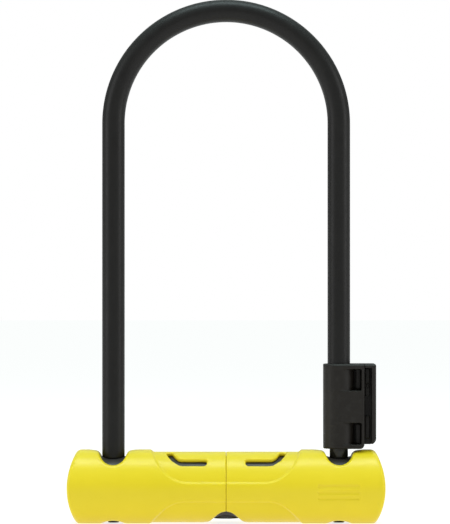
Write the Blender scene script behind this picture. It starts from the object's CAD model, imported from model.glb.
import math

import bpy
import numpy as np
import openvdb as vdb
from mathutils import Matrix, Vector


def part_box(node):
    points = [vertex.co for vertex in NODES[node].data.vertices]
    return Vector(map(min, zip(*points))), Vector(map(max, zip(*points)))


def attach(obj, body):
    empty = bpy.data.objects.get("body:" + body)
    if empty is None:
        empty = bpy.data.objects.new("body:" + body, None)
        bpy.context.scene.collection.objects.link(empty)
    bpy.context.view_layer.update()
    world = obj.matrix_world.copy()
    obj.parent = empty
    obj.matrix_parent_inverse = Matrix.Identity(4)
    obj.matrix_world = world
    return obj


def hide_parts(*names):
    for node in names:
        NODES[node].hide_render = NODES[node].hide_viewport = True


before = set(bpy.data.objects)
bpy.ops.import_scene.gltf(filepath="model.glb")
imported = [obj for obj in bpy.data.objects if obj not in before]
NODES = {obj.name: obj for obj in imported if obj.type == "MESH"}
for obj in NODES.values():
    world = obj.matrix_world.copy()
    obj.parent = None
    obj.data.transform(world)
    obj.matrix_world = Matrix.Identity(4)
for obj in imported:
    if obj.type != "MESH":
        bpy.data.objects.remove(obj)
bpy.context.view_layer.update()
MM = 0.001
scene = bpy.context.scene


def cad(node):
    """Lowest and highest corner of a CAD node, in millimetres."""
    lo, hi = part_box(node)
    return [v * 1000 for v in lo], [v * 1000 for v in hi]


# ------------------------------------------------------------------ places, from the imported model
coat_lo, coat_hi = cad("shackle_coating")
COAT_R = 6.0
LEG = coat_hi[0] - COAT_R                          # a leg's axis
BOW = coat_hi[2] - COAT_R - LEG                    # height of the bow's centre
COAT_L = coat_lo[2]                                # where the left leg's coating ends
tube_lo, tube_hi = cad("body_tube")
AXIS = (tube_lo[2] + tube_hi[2]) / 2               # the crossbar's axis
TUBE_R = (tube_hi[2] - tube_lo[2]) / 2
TUBE_HALF = tube_hi[0]
END_X = cad("cover_right")[1][0]                   # the crossbar's end
FLOOR = cad("cover_right")[0][2]
front_lo, front_hi = cad("clip_front_shell")
rear_lo, rear_hi = cad("clip_rear_shell")
liner_lo, liner_hi = cad("clip_liner")
bar_lo, bar_hi = cad("shackle_bar")
BAR_R = bar_hi[0] - LEG
C0, C1 = front_lo[2], front_hi[2]                  # the clip's foot and top
CLIP_R = LEG - front_lo[0]
COAT_RZ = C0 + 3.0                                 # where the right leg's coating ends, inside the clip

# ------------------------------------------------------------------ camera
# A long lens, level, above the clip: the crossbar is seen about 3 degrees from above.
PX = 0.5325           # millimetres on the lock's middle plane for one pixel of 450 x 524
CAM_D, CAM_Z = 2000.0, 135.0
CENTRE_X, CENTRE_Z = -0.60, AXIS + 224.95 * PX
cam_data = bpy.data.cameras.new("camera")
cam_data.sensor_width = 36.0
cam_data.lens = 36.0 * CAM_D / (524 * PX)
cam_data.shift_x = CENTRE_X / (524 * PX)
cam_data.shift_y = (CENTRE_Z - CAM_Z) / (524 * PX)
cam_data.clip_end = 50.0
cam = bpy.data.objects.new("camera", cam_data)
cam.location = (0, -CAM_D * MM, CAM_Z * MM)
cam.rotation_euler = (math.radians(90), 0, 0)
scene.collection.objects.link(cam)
scene.camera = cam


# ------------------------------------------------------------------ solid shapes on a grid
# The functions below work in millimetres with signed distances, negative inside.

class Grid:
    def __init__(self, lo, hi, h):
        self.h = h
        self.lo = np.array(lo, float) - 3 * h
        self.n = np.ceil((np.array(hi, float) + 3 * h - self.lo) / h).astype(int) + 1
        ax = [self.lo[i] + h * np.arange(self.n[i]) for i in range(3)]
        self.x = ax[0].astype(np.float32)[:, None, None]
        self.y = ax[1].astype(np.float32)[None, :, None]
        self.z = ax[2].astype(np.float32)[None, None, :]


def inter(a, b, r=0.0):
    """Intersection with the convex edge rounded to radius r."""
    if np.ndim(r) == 0 and r <= 0:
        return np.maximum(a, b)
    u, v = np.maximum(a + r, 0), np.maximum(b + r, 0)
    return np.minimum(np.maximum(a, b), -r) + np.sqrt(u * u + v * v)


def union(a, b, r=0.0):
    """Union with the inner corner filled to radius r."""
    if r <= 0:
        return np.minimum(a, b)
    u, v = np.maximum(r - a, 0), np.maximum(r - b, 0)
    return np.maximum(np.minimum(a, b), r) - np.sqrt(u * u + v * v)


def cut(a, b, r=0.0):
    return inter(a, -b, r)


def smooth(t):
    t = np.clip(t, 0, 1)
    return t * t * (3 - 2 * t)


def rect2(x, z, x0, x1, z0, z1, r=0.0):
    dx = np.abs(x - (x0 + x1) / 2) - (x1 - x0) / 2 + r
    dz = np.abs(z - (z0 + z1) / 2) - (z1 - z0) / 2 + r
    return np.sqrt(np.maximum(dx, 0) ** 2 + np.maximum(dz, 0) ** 2) + np.minimum(np.maximum(dx, dz), 0) - r


def slab(t, t0, t1):
    return np.abs(t - (t0 + t1) / 2) - (t1 - t0) / 2


def rod(a, b, ca, cb, r):
    return np.sqrt((a - ca) ** 2 + (b - cb) ** 2) - r


def poly2(px, pz, pts):
    """Exact signed distance to a closed polygon."""
    pts = np.array(pts, float)
    best = np.full(np.broadcast(px, pz).shape, 1e9)
    inside = np.zeros(best.shape, bool)
    for (ax, az), (bx, bz) in zip(pts, np.roll(pts, -1, axis=0)):
        ex, ez = bx - ax, bz - az
        wx, wz = px - ax, pz - az
        t = np.clip((wx * ex + wz * ez) / (ex * ex + ez * ez), 0, 1)
        best = np.minimum(best, (wx - t * ex) ** 2 + (wz - t * ez) ** 2)
        inside ^= ((az > pz) != (bz > pz)) & (px < ex * (pz - az) / (ez + 1e-12) + ax)
    return (np.where(inside, -1, 1) * np.sqrt(best)).astype(np.float32)


def bezier(p, n):
    p = np.array(p, float)
    t = np.linspace(0, 1, n)[:, None]
    return ((1 - t) ** 3 * p[0] + 3 * (1 - t) ** 2 * t * p[1] + 3 * (1 - t) * t * t * p[2] + t ** 3 * p[3]).tolist()


def arc(x, z, r, a0, a1, n):
    return [[x + r * math.cos(math.radians(a)), z + r * math.sin(math.radians(a))] for a in np.linspace(a0, a1, n)]


def sample(field, g, p):
    q = np.clip((p - g.lo) / g.h, 0, np.array(field.shape) - 1.001)
    i = q.astype(int)
    f = (q - i).astype(np.float32)
    out = 0
    for dx in (0, 1):
        for dy in (0, 1):
            for dz in (0, 1):
                w = (f[:, 0] if dx else 1 - f[:, 0]) * (f[:, 1] if dy else 1 - f[:, 1]) * (f[:, 2] if dz else 1 - f[:, 2])
                out = out + w * field[i[:, 0] + dx, i[:, 1] + dy, i[:, 2] + dz]
    return out


def gradient(field, g, p):
    e = g.h * 0.75
    out = np.zeros_like(p)
    for a in range(3):
        d = np.zeros(3)
        d[a] = e
        out[:, a] = (sample(field, g, p + d) - sample(field, g, p - d)) / (2 * e)
    return out


def mesh_object(name, points, faces, normals=None):
    mesh = bpy.data.meshes.new(name)
    mesh.from_pydata((np.asarray(points, float) * MM).tolist(), [], faces)
    mesh.polygons.foreach_set("use_smooth", [True] * len(mesh.polygons))
    mesh.update()
    if normals is not None:
        mesh.normals_split_custom_set_from_vertices(np.asarray(normals, float).tolist())
    ob = bpy.data.objects.new(name, mesh)
    scene.collection.objects.link(ob)
    return ob


def solid(name, field, g, adapt=0.04, mirror=False, dz=0.0):
    """A mesh of the field's zero surface, with its normals taken from the field."""
    vg = vdb.FloatGrid(background=float(3 * g.h))
    vg.copyFromArray(np.clip(field, -3 * g.h, 3 * g.h).astype(np.float32))
    vg.transform = vdb.createLinearTransform(voxelSize=g.h)
    pts, tris, quads = vg.convertToPolygons(isovalue=0.0, adaptivity=adapt)
    p = np.array(pts, float) + g.lo
    for _ in range(2):
        grad = gradient(field, g, p)
        length = np.maximum((grad ** 2).sum(1), 0.05)
        p -= np.clip((sample(field, g, p) / length)[:, None] * grad, -0.5 * g.h, 0.5 * g.h)
    normal = gradient(field, g, p)
    normal /= np.maximum(np.linalg.norm(normal, axis=1), 1e-9)[:, None]
    faces = [tuple(int(v) for v in f) for f in tris] + [tuple(int(v) for v in f) for f in quads]
    agree = 0
    for f in faces[:: max(1, len(faces) // 400)]:
        a, b, c = p[f[0]], p[f[1]], p[f[2]]
        agree += 1 if np.dot(np.cross(b - a, c - a), normal[f[0]]) > 0 else -1
    flip = agree < 0
    if mirror:
        p[:, 0] *= -1
        normal[:, 0] *= -1
        flip = not flip
    if flip:
        faces = [f[::-1] for f in faces]
    p[:, 2] += dz
    return mesh_object(name, p, faces, normal)


def stand_for(piece, body, node):
    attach(piece, body)
    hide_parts(node)
    return piece


# ------------------------------------------------------------------ cover halves
# Heights here are from the crossbar's axis; the right half is made, and mirrored for the left.
upper = [[-10, 3.1]] + bezier([[19.8, 3.1], [29.7, 3.1], [36.2, 9.8], [40, 21]], 40) + [[41.4, 30], [-10, 30]]
lower = [[-10, -6.8]] + bezier([[21.8, -6.8], [29.7, -6.8], [34.2, -11.5], [42, -21]], 40) + [[46, -30], [-10, -30]]
flank = bezier([[6.81, 16.97], [7.5, 18.8], [8.9, 20.0], [11.4, 20.12]], 18)
saddle = arc(0, 19.45, 7.25, 200, 340, 48)[1:-1] + flank + [[11.4, 30], [-11.4, 30]] + [[-x, z] for x, z in reversed(flank)]
notch = [[-10, -12.3]] + arc(0, -19.1, 6.8, 90, 45, 20) + bezier([[6.9, -16.3], [8.4, -17.7], [9.2, -18.75], [11.4, -18.87]], 14) \
    + [[11.4, -30], [-10, -30]]
slot = [[31.7, 6.8], [30.6, 2.9], [29.3, 0.2], [28, -2], [26.4, -3.5], [24.8, -4.6], [23.4, -4.9], [11.5, -4.9],
        [10.6, -4.3], [10.2, -3.4], [10.2, -1.4], [10.5, -0.6], [11.1, -0.35], [23.6, -0.35], [25.1, 0.2], [26.5, 1.8], [27.4, 3.6], [28.6, 7.3]]


def cover_field(marks):
    g = Grid((0, -20, -20), (END_X, 20, 20), 0.26)
    x2, z2 = g.x[:, :, 0], g.z[0]
    recess = np.minimum(poly2(x2, z2, upper), poly2(x2, z2, lower))
    ramp = 1.1
    r_out = 20.0 - 1.2 * smooth((-recess + 0.4 * ramp) / ramp)
    front = r_out
    if marks:
        bars = np.full(r_out.shape, 9.0)
        for i in (-1, 0, 1):
            bars = np.minimum(bars, rect2(x2, z2, LEG - 11.5, LEG + 10.5, -2.75 + 3 * i, -1.25 + 3 * i, 0.7))
        front = r_out - 0.4 * smooth((-bars + 0.35) / 0.7)
    radius = np.where(g.y < 0, front[:, None, :], r_out[:, None, :]).astype(np.float32)
    around = np.sqrt(g.y ** 2 + g.z ** 2)
    f = around - radius
    xc, ra = END_X - 40.2, 40.2
    end2 = np.where(x2 > xc, np.sqrt((x2 - xc) ** 2 + z2 ** 2) - ra, np.abs(z2) - ra).astype(np.float32)
    f = inter(f, end2[:, None, :], 1.8)
    f = inter(f, (FLOOR - AXIS) - g.z, 0.5)
    f = cut(f, poly2(x2 - LEG, z2, saddle)[:, None, :], 0.9)
    below = np.maximum(rod(g.x, g.y, LEG, 0, 6.75), g.z)
    f = cut(f, union(below, rod(g.x, g.z, LEG, -30.1, 12.6), 0.8), 0.7)
    f = cut(f, poly2(x2, z2, notch)[:, None, :], 0.5)
    vt = np.arange(-12, 14, 0.1)
    table = poly2(x2, vt[None, :], slot)
    c, s = math.cos(math.radians(35)), math.sin(math.radians(35))
    for side in (1, -1):
        v = side * g.y * c + g.z * s
        w = -side * g.y * s + g.z * c
        k = np.clip((v + 12) / 0.1, 0, len(vt) - 1.001)[0]
        i = k.astype(int)
        t = (k - i).astype(np.float32)
        round_v = (0.4 + 0.9 * smooth((v + 2.8) / 2.2)).astype(np.float32)
        f = cut(f, np.maximum(table[:, i] * (1 - t) + table[:, i + 1] * t, 12.5 - w), round_v)
    bore = np.minimum(np.maximum(around - 16.7, g.x - 76.2), np.maximum(around - 14.5, g.x - (END_X - 5)))
    f = cut(f, bore, 0.25)
    f = inter(f, 0.05 - g.x, 0.5)
    peg = np.maximum(rod(g.x, g.y, 21, 0, 2), slab(g.z, 14.5, 17.1))
    return np.minimum(f, peg), g


field, grid = cover_field(True)
cover_right = solid("yellow_cover_right", field, grid, dz=AXIS)
field, grid = cover_field(False)
cover_left = solid("yellow_cover_left", field, grid, mirror=True, dz=AXIS)
stand_for(cover_right, "crossbar", "cover_right")
stand_for(cover_left, "crossbar", "cover_left")

# ------------------------------------------------------------------ steel tube of the crossbar
g = Grid((-TUBE_HALF, -TUBE_R, -TUBE_R), (TUBE_HALF, TUBE_R, TUBE_R), 0.36)
around = np.sqrt(g.y ** 2 + g.z ** 2)
f = inter(around - TUBE_R, np.abs(g.x) - TUBE_HALF, 0.6)
f = cut(f, g.x * 0 + around - (TUBE_R - 2.5), 0.5)
for s in (-1, 1):
    f = cut(f, np.maximum(rod(g.x, g.y, s * LEG, 0, COAT_R + 0.35), -g.z), 0.5)
    f = cut(f, np.maximum(rod(g.x, g.y, s * LEG, 0, BAR_R + 0.4), g.z), 0.4)
    f = cut(f, np.maximum(rod(g.x, g.y, s * 21, 0, 2.2), -g.z), 0.2)
    f = cut(f, np.maximum(rod(g.x, g.z, s * (LEG + 7.8), -7, 2.05), -g.y), 0.2)
f = cut(f, np.maximum(rod(g.x, g.y, 0, 0, 6.95), g.z), 0.4)
f = cut(f, np.maximum(rod(g.x, g.z, 8.2, -6, 1.6), -g.y), 0.2)
tube = stand_for(solid("crossbar_tube", f, g, dz=AXIS), "crossbar", "body_tube")


# ------------------------------------------------------------------ coating of the shackle
def shackle_path(z_left, z_right, step_leg, n_bow):
    """Centres and in-plane normals from the left leg's foot over the bow to the right leg's."""
    pts = [(-LEG, z, -1.0, 0.0) for z in np.linspace(z_left, BOW, step_leg, endpoint=False)]
    pts += [(LEG * math.cos(a), BOW + LEG * math.sin(a), math.cos(a), math.sin(a)) for a in np.linspace(math.pi, 0, n_bow)]
    pts += [(LEG, z, 1.0, 0.0) for z in np.linspace(BOW, z_right, step_leg + 1)[1:]]
    return pts


def ring(c, r, n):
    x, z, nx, nz = c
    a = np.linspace(0, 2 * math.pi, n, endpoint=False)
    p = np.stack([x + nx * r * np.cos(a), r * np.sin(a), z + nz * r * np.cos(a)], 1)
    d = np.stack([nx * np.cos(a), np.sin(a), nz * np.cos(a)], 1)
    return p, d


def coating():
    """A closed sleeve: the outside, a rounded lip at each end, and the inside against the steel."""
    n, inner, lip = 96, BAR_R + 0.04, 0.8
    path = shackle_path(COAT_L, COAT_RZ, 90, 181)
    rings, normals = [], []

    def add(c, r, along=None, weight=0.0):
        p, d = ring(c, r, n)
        if along is not None:
            d = d * (1 - weight) + np.array(along) * weight
        rings.append(p)
        normals.append(d / np.linalg.norm(d, axis=1)[:, None])

    def lip_rings(c, foot, order):
        for t in order:
            a = math.radians(90 * t)
            add((c[0], foot + lip * (1 - math.cos(a)), c[2], c[3]), COAT_R - lip * (1 - math.sin(a)), (0, 0, -1), 1 - math.sin(a))

    lip_rings(path[0], COAT_L, np.linspace(0, 1, 8))
    for c in path[1:-1]:
        if c[1] > (COAT_L if c[0] < 0 else COAT_RZ) + lip * 1.5:
            add(c, COAT_R)
    lip_rings(path[-1], COAT_RZ, np.linspace(1, 0, 8))
    for c in reversed(path):
        p, d = ring(c, inner, n)
        rings.append(p)
        normals.append(-d)
    m = len(rings)
    faces = [(i * n + j, i * n + (j + 1) % n, ((i + 1) % m) * n + (j + 1) % n, ((i + 1) % m) * n + j) for i in range(m) for j in range(n)]
    pts = np.concatenate(rings)
    a, b, c = pts[faces[n * 40][0]], pts[faces[n * 40][1]], pts[faces[n * 40][2]]
    if np.dot(np.cross(b - a, c - a), np.concatenate(normals)[faces[n * 40][0]]) < 0:
        faces = [q[::-1] for q in faces]
    return mesh_object("vinyl_sleeve", pts, faces, np.concatenate(normals))


sleeve = stand_for(coating(), "shackle", "shackle_coating")

# ------------------------------------------------------------------ clip: front shell
FX1 = front_hi[0]
WIN_X1 = LEG + 11.9
CF = C0 - 0.45                                    # the front shell's foot hangs a little lower
WINDOWS = ((C0 + 1.9, C0 + 13.4), (C1 - 14.2, C1 - 2.8))
SCREW_X = LEG + 9.3
SCREW_Z = [(C0 + C1) / 2 - 0.3 + d for d in (-4.6, 4.6)]


def outline(x, z, x0, x1, z0, z1, top, bottom):
    """Plate outline with its right corners rounded: top and bottom radius."""
    a = rect2(x, z, x0, x1, z0, z1)
    mid = (z0 + z1) / 2
    hi = rect2(x, z, x0 - 20, x1, z0 - 20, z1, top)
    lo = rect2(x, z, x0 - 20, x1, z0, z1 + 20, bottom)
    return np.maximum(a, np.where(z > mid, hi, lo))


g = Grid((LEG - CLIP_R, -CLIP_R, CF), (FX1, -0.2, C1), 0.2)
barrel = rod(g.x, g.y, LEG, 0, CLIP_R)
f = inter(barrel + 0 * g.z, slab(g.z, CF, C1), 0.6)
f = inter(f, (barrel + g.z - C1 + 0.9) * 0.7071, 0.25)
plate = inter(outline(g.x, g.z, LEG, FX1, CF, C1, 1.0, 2.4) + 0 * g.y, slab(g.y, -CLIP_R, 8), 0.6)
plate = inter(plate, (-CLIP_R - g.y + g.z - C1 + 0.9) * 0.7071, 0.2)
plate = inter(plate, LEG - g.x, 0)
f = np.minimum(f, plate)
f = inter(f, g.y + 0.2, 0.25)
f = cut(f, rod(g.x, g.y, LEG, 0, COAT_R + 0.95) + 0 * g.z, 0.3)
for z0, z1 in WINDOWS:
    hole = np.maximum(rect2(g.x, g.z, LEG - 4, WIN_X1, z0, z1, 0.7), -barrel)
    f = cut(f, hole, 0.35)
for z in SCREW_Z:
    f = cut(f, np.maximum(rod(g.x, g.z, SCREW_X, z, 1.7), -6.9 - g.y), 0.1)
    f = cut(f, np.maximum(rod(g.x, g.z, SCREW_X, z, 3.3), slab(g.y, -6.9, -4.2)), 0.1)
front_shell = stand_for(solid("clip_front", f, g), "shackle", "clip_front_shell")

# ------------------------------------------------------------------ clip: rear shell with the rail channel
RX1 = rear_hi[0]
R0 = rear_lo[2]
CH0, CH1 = FX1 + 0.15, FX1 + 3.9
LIP_Y, CH_Y = rear_lo[1], -1.3
g = Grid((LEG - CLIP_R, LIP_Y, R0), (RX1, rear_hi[1], C1), 0.2)
barrel = rod(g.x, g.y, LEG, 0, CLIP_R)
half = inter(inter(barrel + 0 * g.z, slab(g.z, R0, C1), 0.7), 0.2 - g.y, 0.25)
shape = outline(g.x, g.z, LEG + 1, RX1, R0, C1, 1.2, 3.3)
back = inter(inter(shape + 0 * g.y, slab(g.y, 0.2, rear_hi[1]), 0.8), LEG + 1 - g.x, 0)
rail = inter(shape + 0 * g.y, slab(g.y, LIP_Y, rear_hi[1]), 1.25)
rail = inter(rail, (LIP_Y - g.y + g.z - C1 + 1.1) * 0.7071, 0.4)
rail = inter(rail, CH0 - g.x, 0.3)
channel = np.maximum(np.maximum(g.x - CH1, g.y - CH_Y), g.z - (C1 - 2.2)) + 0 * g.x
rail = cut(rail, channel, 0.35)
f = np.minimum(np.minimum(half, back), rail)
foot = inter(rect2(g.x, g.z, LEG + 1, FX1 - 2.2, C0 + 0.6, C0 + 8, 0.6) + 0 * g.y, slab(g.y, 0.2, 3.5), 0.4)
f = np.minimum(f, foot)
for x0, x1, z0, z1, y in ((FX1 + 0.5, FX1 + 3.0, C1 - 17.3, C1 - 2.5, -3.3), (FX1 + 0.5, FX1 + 3.0, C0 + 4.9, C0 + 17, -3.3)):
    pad = inter(rect2(g.x, g.z, x0, x1, z0, z1, 1.2) + 0 * g.y, slab(g.y, y, 0.5), 0.25)
    f = np.minimum(f, pad)
ring_x, ring_z = FX1 + 1.75, C1 - 11.4
oval = np.sqrt(((g.x - ring_x) / 0.8) ** 2 + ((g.z - ring_z) / 1.15) ** 2)
f = cut(f, np.maximum(np.abs(oval - 1) * 0.9 - 0.2, slab(g.y, -3.7, -3.0)), 0.05)
for z0, z1 in ((C0 + 2.2, C0 + 12.6), (C1 - 13.4, C1 - 2.8)):
    rib = inter(rect2(g.x, g.z, LEG + 9.1, LEG + 11.5, z0, z1, 0.4) + 0 * g.y, slab(g.y, -3, 1), 0.3)
    f = np.minimum(f, rib)
f = cut(f, rod(g.x, g.y, LEG, 0, COAT_R + 0.95) + 0 * g.z, 0.3)
for z in SCREW_Z:
    f = cut(f, rod(g.x, g.z, SCREW_X, z, 1.7) + 0 * g.y, 0.1)
    f = cut(f, np.maximum(rod(g.x, g.z, SCREW_X, z, 3.0), 5 - g.y), 0.3)
rear_shell = stand_for(solid("clip_rear", f, g), "shackle", "clip_rear_shell")

# ------------------------------------------------------------------ clip: liner with its tongues
g = Grid((LEG - COAT_R - 0.9, -COAT_R - 0.9, liner_lo[2]), (LEG + COAT_R + 0.9, COAT_R + 0.9, liner_hi[2]), 0.16)
radial = rod(g.x, g.y, LEG, 0, 0) + 0 * g.z
f = inter(radial - (COAT_R + 0.9), slab(g.z, C0, liner_hi[2]), 0.3)
dx = g.x - LEG
tongue = poly2(dx[:, :, 0], g.z[0] - C0, [[-3.8, 1], [-3.8, 0], [-1.4, liner_lo[2] - C0], [1.4, liner_lo[2] - C0], [3.8, 0], [3.8, 1]])[:, None, :]
f = union(f, inter(tongue + 0 * g.y, radial - (COAT_R - 0.02), 0.5), 0.2)
f = cut(f, np.maximum(radial - (COAT_R + 0.03), COAT_RZ - g.z), 0.1)
f = cut(f, radial - (BAR_R + 0.05), 0.15)
f = cut(f, np.maximum(slab(g.y, -0.3, 0.3), g.x - LEG) + 0 * g.z, 0.15)
liner = stand_for(solid("clip_liner_sleeve", f, g), "shackle", "clip_liner")


# ------------------------------------------------------------------ materials
# Object coordinates are metres, so a noise scale of 1000 is one feature per millimetre.

class Mat:
    def __init__(self, name, **sockets):
        self.mat = bpy.data.materials.new(name)
        self.mat.use_nodes = True
        self.nt = self.mat.node_tree
        self.bsdf = self.nt.nodes["Principled BSDF"]
        self.coord = self.add("ShaderNodeTexCoord").outputs["Object"]
        self.height = None
        for key, value in sockets.items():
            self.bsdf.inputs[key.replace("_", " ")].default_value = value

    def add(self, kind, **props):
        node = self.nt.nodes.new(kind)
        for key, value in props.items():
            setattr(node, key, value)
        return node

    def link(self, a, b):
        self.nt.links.new(a, b)

    def stretched(self, scale):
        m = self.add("ShaderNodeMapping")
        m.inputs["Scale"].default_value = scale
        self.link(self.coord, m.inputs["Vector"])
        return m.outputs["Vector"]

    def noise(self, scale, detail=2.0, rough=0.5, distortion=0.0, vector=None):
        n = self.add("ShaderNodeTexNoise")
        n.inputs["Scale"].default_value = scale
        n.inputs["Detail"].default_value = detail
        n.inputs["Roughness"].default_value = rough
        n.inputs["Distortion"].default_value = distortion
        self.link(vector or self.coord, n.inputs["Vector"])
        return n.outputs["Fac"]

    def span(self, value, lo, hi, a=0.3, b=0.7):
        m = self.add("ShaderNodeMapRange")
        m.inputs["From Min"].default_value = a
        m.inputs["From Max"].default_value = b
        m.inputs["To Min"].default_value = lo
        m.inputs["To Max"].default_value = hi
        self.link(value, m.inputs["Value"])
        return m.outputs["Result"]

    def math(self, op, a, b=None):
        m = self.add("ShaderNodeMath", operation=op)
        for i, v in enumerate((a, b)):
            if v is None:
                continue
            if isinstance(v, (int, float)):
                m.inputs[i].default_value = v
            else:
                self.link(v, m.inputs[i])
        return m.outputs[0]

    def ramp(self, value, stops):
        r = self.add("ShaderNodeValToRGB")
        e = r.color_ramp.elements
        while len(e) < len(stops):
            e.new(0.5)
        for el, (pos, colour) in zip(e, stops):
            el.position = pos
            el.color = (*colour, 1)
        self.link(value, r.inputs["Fac"])
        return r.outputs["Color"]

    def blend(self, fac, a, b, mode="MIX"):
        m = self.add("ShaderNodeMix", data_type="RGBA", blend_type=mode)
        for i, v in ((6, a), (7, b)):
            if isinstance(v, tuple):
                m.inputs[i].default_value = (*v, 1)
            else:
                self.link(v, m.inputs[i])
        if isinstance(fac, (int, float)):
            m.inputs[0].default_value = fac
        else:
            self.link(fac, m.inputs[0])
        return m.outputs[2]

    def colour(self, out):
        self.link(out, self.bsdf.inputs["Base Color"])

    def rough(self, out):
        self.link(out, self.bsdf.inputs["Roughness"])

    def bump(self, height, distance, strength=1.0):
        """Stacks bumps; distance is in millimetres."""
        b = self.add("ShaderNodeBump")
        b.inputs["Strength"].default_value = strength
        b.inputs["Distance"].default_value = distance * MM
        self.link(height, b.inputs["Height"])
        if self.height is not None:
            self.link(self.height, b.inputs["Normal"])
        self.height = b.outputs["Normal"]
        self.link(self.height, self.bsdf.inputs["Normal"])

    def radial(self, cx=0.0, cz=None):
        """Distance from a vertical axis, in metres."""
        sep = self.add("ShaderNodeSeparateXYZ")
        self.link(self.coord, sep.inputs[0])
        x = self.math("SUBTRACT", sep.outputs[0], cx)
        return self.math("SQRT", self.math("ADD", self.math("MULTIPLY", x, x), self.math("MULTIPLY", sep.outputs[1], sep.outputs[1]))), sep.outputs[2]


def yellow_plastic():
    m = Mat("yellow_plastic", Specular_IOR_Level=0.30, IOR=1.5)
    blotch = m.noise(55, 3, 0.55)
    flow = m.noise(30, 2, 0.5, 0.6, m.stretched((1.0, 1.0, 0.35)))
    base = m.blend(m.span(blotch, 0, 1), (0.760, 0.590, 0.0140), (0.735, 0.572, 0.0110))
    base = m.blend(m.span(flow, 0.0, 0.35), base, (0.785, 0.605, 0.0200))
    grain = m.noise(2600, 2, 0.6)
    speck = m.ramp(m.noise(900, 1, 0.4), [(0.0, (1, 1, 1)), (0.70, (1, 1, 1)), (0.78, (0.93, 0.93, 0.92))])
    m.colour(m.blend(0.35, base, m.blend(1.0, base, speck, "MULTIPLY")))
    scuff = m.noise(260, 4, 0.7, 1.5, m.stretched((0.25, 1.0, 1.0)))
    m.rough(m.math("ADD", m.span(m.noise(120, 4, 0.6), 0.28, 0.38), m.span(scuff, 0.0, 0.07, 0.55, 0.8)))
    m.bump(m.noise(75, 2, 0.5), 0.05, 0.5)
    m.bump(grain, 0.010, 0.5)
    return m.mat


def vinyl():
    m = Mat("black_vinyl", Specular_IOR_Level=0.20, IOR=1.48)
    streak = m.noise(220, 3, 0.55, 0.2, m.stretched((1.0, 1.0, 0.10)))
    cloud = m.noise(70, 4, 0.6)
    base = m.blend(m.span(cloud, 0, 1), (0.0074, 0.0065, 0.0061), (0.0102, 0.0092, 0.0087))
    m.colour(m.blend(m.span(streak, 0.0, 0.5), base, (0.0124, 0.0115, 0.0109)))
    m.rough(m.math("ADD", m.span(m.noise(160, 4, 0.6), 0.36, 0.46), m.span(m.noise(1900, 2, 0.5), -0.03, 0.04)))
    m.bump(m.noise(95, 3, 0.5), 0.06, 0.5)
    m.bump(m.noise(1700, 2, 0.55), 0.012, 0.6)
    return m.mat


def nylon():
    m = Mat("black_glass_nylon", Specular_IOR_Level=0.225, IOR=1.5)
    cloud = m.noise(140, 4, 0.65)
    fibre = m.noise(900, 3, 0.6, 0.8, m.stretched((0.35, 1.0, 0.35)))
    base = m.blend(m.span(cloud, 0, 1), (0.0092, 0.0070, 0.0054), (0.0124, 0.0099, 0.0078))
    m.colour(m.blend(m.span(fibre, 0.0, 0.45, 0.5, 0.75), base, (0.024, 0.0225, 0.020)))
    m.rough(m.math("ADD", m.span(m.noise(210, 4, 0.6), 0.42, 0.52), m.span(fibre, 0.0, 0.08, 0.5, 0.8)))
    m.bump(m.noise(150, 2, 0.5), 0.03, 0.5)
    m.bump(m.noise(3000, 3, 0.6), 0.020, 0.7)
    return m.mat


def rubber():
    m = Mat("soft_rubber", Specular_IOR_Level=0.44, IOR=1.5)
    dust = m.noise(480, 4, 0.7)
    m.colour(m.blend(m.span(dust, 0.0, 1.0, 0.45, 0.75), (0.0175, 0.0165, 0.0150), (0.032, 0.0305, 0.028)))
    m.rough(m.span(m.noise(300, 3, 0.6), 0.50, 0.66))
    m.bump(m.noise(2200, 2, 0.6), 0.02, 0.7)
    return m.mat


def black_coat():
    m = Mat("black_powder_coat", Specular_IOR_Level=0.34, IOR=1.5)
    cloud = m.noise(180, 3, 0.5)
    m.colour(m.blend(m.span(cloud, 0, 1), (0.0205, 0.0165, 0.0145), (0.0275, 0.0225, 0.0205)))
    m.rough(m.math("ADD", m.span(m.noise(240, 3, 0.6), 0.30, 0.38), m.span(m.noise(2500, 1, 0.5), 0.0, 0.03)))
    m.bump(m.noise(700, 2, 0.5), 0.05, 0.55)
    m.bump(m.noise(2600, 2, 0.5), 0.010, 0.5)
    return m.mat


def bar_coat():
    m = Mat("phosphated_steel", Metallic=0.30, Specular_IOR_Level=0.12)
    crystal = m.noise(2100, 3, 0.7)
    cloud = m.noise(130, 4, 0.6)
    base = m.blend(m.span(crystal, 0, 1), (0.0070, 0.0068, 0.0064), (0.0130, 0.0125, 0.0118))
    worn = m.span(m.noise(420, 4, 0.7, 0.6, m.stretched((1.0, 1.0, 0.2))), 0.0, 0.5, 0.6, 0.8)
    m.colour(m.blend(worn, m.blend(m.span(cloud, 0, 0.5), base, (0.009, 0.009, 0.009)), (0.045, 0.045, 0.045)))
    m.rough(m.span(crystal, 0.36, 0.50))
    m.bump(crystal, 0.012, 0.6)
    return m.mat


def ground_steel(name="ground_steel", tint=(0.56, 0.57, 0.585), worn=(0.42, 0.43, 0.44), along=(1.0, 14.0, 14.0), low=0.24):
    m = Mat(name, Metallic=1.0)
    lines = m.noise(420, 3, 0.65, 0.0, m.stretched(along))
    stain = m.noise(160, 4, 0.6)
    m.colour(m.blend(m.span(stain, 0.0, 0.6), m.blend(m.span(lines, 0, 1), tint, tuple(0.86 * c for c in tint)), worn))
    m.rough(m.math("ADD", m.span(lines, low, low + 0.14), m.span(stain, 0.0, 0.06)))
    m.bump(lines, 0.006, 0.6)
    return m.mat


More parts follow.
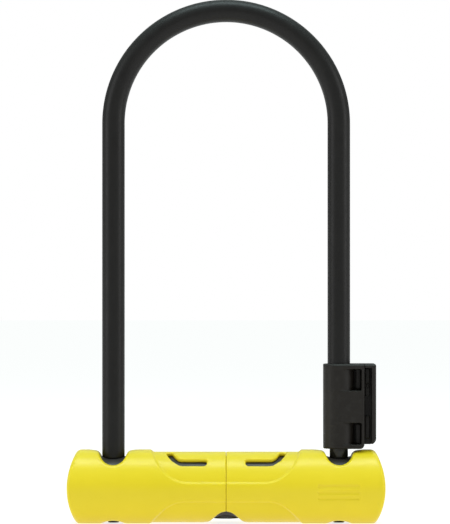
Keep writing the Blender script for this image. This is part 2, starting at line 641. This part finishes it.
def zinc_casting():
    m = Mat("zinc_casting", Metallic=1.0)
    flow = m.noise(120, 4, 0.6, 1.2)
    pit = m.noise(1500, 3, 0.6)
    base = m.blend(m.span(flow, 0, 1), (0.44, 0.45, 0.47), (0.54, 0.55, 0.565))
    m.colour(m.blend(m.span(pit, 0.0, 0.5, 0.58, 0.75), base, (0.30, 0.31, 0.325)))
    m.rough(m.span(flow, 0.40, 0.55))
    m.bump(flow, 0.05, 0.5)
    m.bump(pit, 0.018, 0.7)
    return m.mat


def turned_brass(name, rim=0.0):
    """Turned brass under a nickel wash, which has worn through in places; painted below the height rim."""
    m = Mat(name, Metallic=1.0)
    r, z = m.radial()
    groove = m.math("SINE", m.math("MULTIPLY", m.math("ADD", r, m.math("MULTIPLY", z, 0.8)), 42000.0))
    wob = m.noise(300, 3, 0.6)
    wash = m.blend(m.span(wob, 0, 1), (0.54, 0.53, 0.50), (0.62, 0.61, 0.585))
    bare = m.blend(m.span(m.noise(900, 3, 0.6), 0, 1), (0.62, 0.47, 0.23), (0.72, 0.56, 0.29))
    metal = m.blend(m.span(m.noise(210, 5, 0.7, 0.4), 0.0, 0.85, 0.56, 0.66), wash, bare)
    if rim:
        bare_part = m.span(z, 0.0, 1.0, rim - 0.0002, rim + 0.0002)
        metal = m.blend(bare_part, m.blend(m.span(wob, 0, 1), (0.015, 0.014, 0.0135), (0.022, 0.021, 0.020)), metal)
        m.link(bare_part, m.bsdf.inputs["Metallic"])
    m.colour(metal)
    m.rough(m.math("ADD", m.span(wob, 0.24, 0.36), m.span(groove, 0.0, 0.05, -1, 1)))
    m.bump(groove, 0.0035, 0.5)
    m.bump(wob, 0.006, 0.5)
    return m.mat


def give(ob, mat):
    ob.data.materials.clear()
    ob.data.materials.append(mat)


YELLOW, VINYL, NYLON, RUBBER, TUBE, BAR = yellow_plastic(), vinyl(), nylon(), rubber(), black_coat(), bar_coat()
STEEL = ground_steel()
HARD = ground_steel("hardened_steel", (0.50, 0.50, 0.51), (0.34, 0.335, 0.33), (1.0, 10.0, 10.0), 0.28)
ZINC, BRASS = zinc_casting(), turned_brass("nickel_washed_brass")
RIMMED = turned_brass("painted_rim_brass", (AXIS - TUBE_R) * MM + 0.0022)
for ob in (cover_left, cover_right):
    give(ob, YELLOW)
give(tube, TUBE)
give(sleeve, VINYL)
give(front_shell, NYLON)
give(rear_shell, NYLON)
give(liner, RUBBER)
CARRIED = {"shackle_bar": BAR, "end_plug_left": TUBE, "end_plug_right": TUBE, "guide_block_left": ZINC, "guide_block_right": ZINC,
           "guide_pins": STEEL, "cylinder_carrier": ZINC, "bolt_keeper": ZINC, "cylinder_housing": RIMMED, "cylinder_pin": STEEL,
           "cylinder_core": BRASS, "drill_guard": HARD, "code_discs": BRASS, "disc_spacers": STEEL, "sidebar": STEEL,
           "drive_cam": HARD, "cam_screw": STEEL, "bolt_left": HARD, "bolt_right": HARD, "clip_screws": STEEL, "clip_nuts": STEEL}
EDGE = {"shackle_bar": 0.35, "end_plug_left": 0.3, "end_plug_right": 0.3, "guide_block_left": 0.3, "guide_block_right": 0.3,
        "guide_pins": 0.25, "cylinder_carrier": 0.3, "bolt_keeper": 0.3, "cylinder_housing": 0.15, "cylinder_pin": 0.2,
        "cylinder_core": 0.12, "drill_guard": 0.08, "drive_cam": 0.2, "cam_screw": 0.12,
        "bolt_left": 0.25, "bolt_right": 0.25, "clip_screws": 0.22, "clip_nuts": 0.15}
for name, mat in CARRIED.items():
    give(NODES[name], mat)
    if name in EDGE:
        bev = NODES[name].modifiers.new("edges", "BEVEL")
        bev.width = EDGE[name] * MM
        bev.segments = 2
        bev.limit_method = "ANGLE"
        bev.angle_limit = math.radians(40)
        bev.use_clamp_overlap = True
        bev.harden_normals = True


# ------------------------------------------------------------------ floor and light
def plane(name, corners, mat):
    mesh = bpy.data.meshes.new(name)
    mesh.from_pydata(corners, [], [(0, 1, 2, 3)])
    ob = bpy.data.objects.new(name, mesh)
    ob.data.materials.append(mat)
    scene.collection.objects.link(ob)
    return ob


L_TOP, L_SIDE, L_BACK = 11.0, 8.5, 1.0
W_ALL, W_UP, W_SIDE, W_BEHIND, W_FRONT = 0.02, 0.76, 0.0, 0.25, 0.27
FLOOR_GLOW = 0.78

pale = bpy.data.materials.new("pale_floor")
pale.use_nodes = True
pb = pale.node_tree.nodes["Principled BSDF"]
pb.inputs["Base Color"].default_value = (0.34, 0.325, 0.32, 1)
pb.inputs["Roughness"].default_value = 0.9
pb.inputs["Specular IOR Level"].default_value = 0.0
pb.inputs["Emission Color"].default_value = (1, 1, 1, 1)
pb.inputs["Emission Strength"].default_value = FLOOR_GLOW
floor = plane("floor", [(-8, -8, 0), (8, -8, 0), (8, 8, 0), (-8, 8, 0)], pale)


def softbox(name, at, target, size, power, colour=(1, 1, 1)):
    data = bpy.data.lights.new(name, "AREA")
    data.shape = "RECTANGLE"
    data.size, data.size_y = size
    data.energy = power
    data.color = colour
    ob = bpy.data.objects.new(name, data)
    ob.location = at
    ob.rotation_euler = (Vector(target) - Vector(at)).to_track_quat("-Z", "Y").to_euler()
    scene.collection.objects.link(ob)
    return ob


softbox("top_box", (0, -0.10, 1.30), (0, 0, 0.05), (1.0, 0.5), L_TOP, (0.81, 1.0, 1.0))
softbox("left_box", (-1.5, -0.5, 0.5), (0, 0, 0.12), (0.8, 1.2), L_SIDE)
softbox("right_box", (1.5, -0.5, 0.5), (0, 0, 0.12), (0.8, 1.2), L_SIDE)
softbox("back_box", (0, 1.8, 1.3), (0, 0, 0.1), (2.0, 0.9), L_BACK)

# White for the camera; for the light itself a tent, dim in front and brighter at the sides and above.
world = bpy.data.worlds.new("studio")
scene.world = world
world.use_nodes = True
wn = world.node_tree
wn.nodes.clear()


def wnode(kind, **props):
    node = wn.nodes.new(kind)
    for key, value in props.items():
        setattr(node, key, value)
    return node


def wmath(op, a, b=0.0):
    node = wnode("ShaderNodeMath", operation=op)
    for i, v in enumerate((a, b)):
        if isinstance(v, (int, float)):
            node.inputs[i].default_value = v
        else:
            wn.links.new(v, node.inputs[i])
    return node.outputs[0]


way = wnode("ShaderNodeSeparateXYZ")
wn.links.new(wnode("ShaderNodeTexCoord").outputs["Generated"], way.inputs[0])
dx, dy, dz = way.outputs
side = wmath("MULTIPLY", dx, dx)
up = wmath("MAXIMUM", dz, 0.0)
behind = wmath("MAXIMUM", dy, 0.0)
ahead = wmath("MAXIMUM", wmath("MULTIPLY", dy, -1.0), 0.0)
level = W_ALL
for value, strength in ((up, W_UP), (side, W_SIDE), (behind, W_BEHIND), (ahead, W_FRONT)):
    level = wmath("ADD", wmath("MULTIPLY", value, strength), level)
level = wmath("MAXIMUM", level, 0.0)
seen, lit, mix = wnode("ShaderNodeBackground"), wnode("ShaderNodeBackground"), wnode("ShaderNodeMixShader")
seen.inputs["Color"].default_value = (1, 1, 1, 1)
seen.inputs["Strength"].default_value = 1.0
tint = wnode("ShaderNodeMix", data_type="RGBA")
tint.inputs[6].default_value, tint.inputs[7].default_value = (1, 1, 1, 1), (0.79, 1.0, 0.98, 1)
wn.links.new(up, tint.inputs[0])
wn.links.new(tint.outputs[2], lit.inputs["Color"])
wn.links.new(level, lit.inputs["Strength"])
wn.links.new(wnode("ShaderNodeLightPath").outputs["Is Camera Ray"], mix.inputs["Fac"])
wn.links.new(lit.outputs[0], mix.inputs[1])
wn.links.new(seen.outputs[0], mix.inputs[2])
wn.links.new(mix.outputs[0], wnode("ShaderNodeOutputWorld").inputs["Surface"])

scene.view_settings.view_transform = "Standard"
scene.view_settings.look = "None"
scene.view_settings.exposure = 0.0
scene.view_settings.gamma = 1.0
